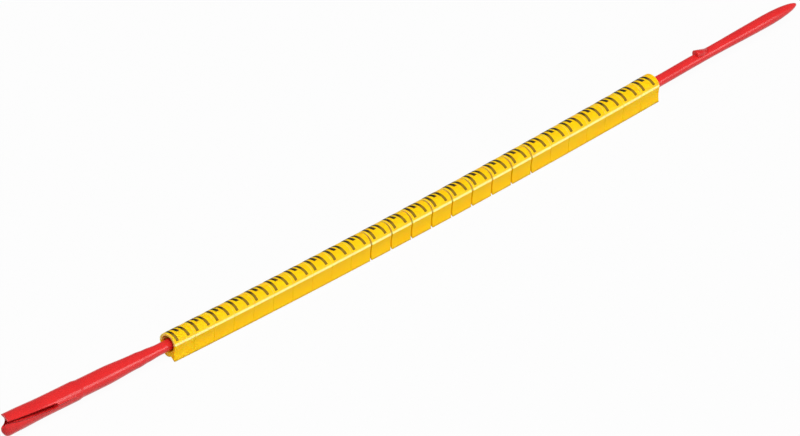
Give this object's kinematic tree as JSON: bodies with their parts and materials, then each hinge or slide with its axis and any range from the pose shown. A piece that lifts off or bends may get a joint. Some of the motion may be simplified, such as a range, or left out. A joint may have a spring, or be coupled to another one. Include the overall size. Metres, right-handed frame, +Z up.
{
  "type": "cable marker",
  "caption": "Moulded applicator stick with a forked wire slot, a barb and a point, carrying a row of slide-on ring markers for wires.",
  "frame": {"origin": "middle of the part's box, on the plane that the markers' feet stand on", "axes": "+X along the stick towards its point, +Y towards the back, where the bow is hollow, +Z up through the markers' round tops"},
  "size_m": [0.1266, 0.0042, 0.0031],
  "materials": {
    "marker_plastic": "glossy soft yellow plastic",
    "stick_plastic": "glossy red moulded plastic"
  },
  "bodies": {
    "applicator": {"applicator": "stick_plastic"},
    "marker_row": {"marker_01": "marker_plastic", "marker_02": "marker_plastic", "marker_03": "marker_plastic", "marker_04": "marker_plastic", "marker_05": "marker_plastic", "marker_06": "marker_plastic", "marker_07": "marker_plastic", "marker_08": "marker_plastic", "marker_09": "marker_plastic", "marker_10": "marker_plastic", "marker_11": "marker_plastic", "marker_12": "marker_plastic", "marker_13": "marker_plastic", "marker_14": "marker_plastic", "marker_15": "marker_plastic", "marker_16": "marker_plastic", "marker_17": "marker_plastic", "marker_18": "marker_plastic", "marker_19": "marker_plastic", "marker_20": "marker_plastic", "marker_21": "marker_plastic", "marker_22": "marker_plastic", "marker_23": "marker_plastic", "marker_24": "marker_plastic", "marker_25": "marker_plastic"}
  },
  "joints": [
    {"name": "row_slide", "type": "slide", "parent": "applicator", "child": "marker_row", "axis": [1, 0, 0], "range_m": [-0.003, 0.0066]}
  ]
}
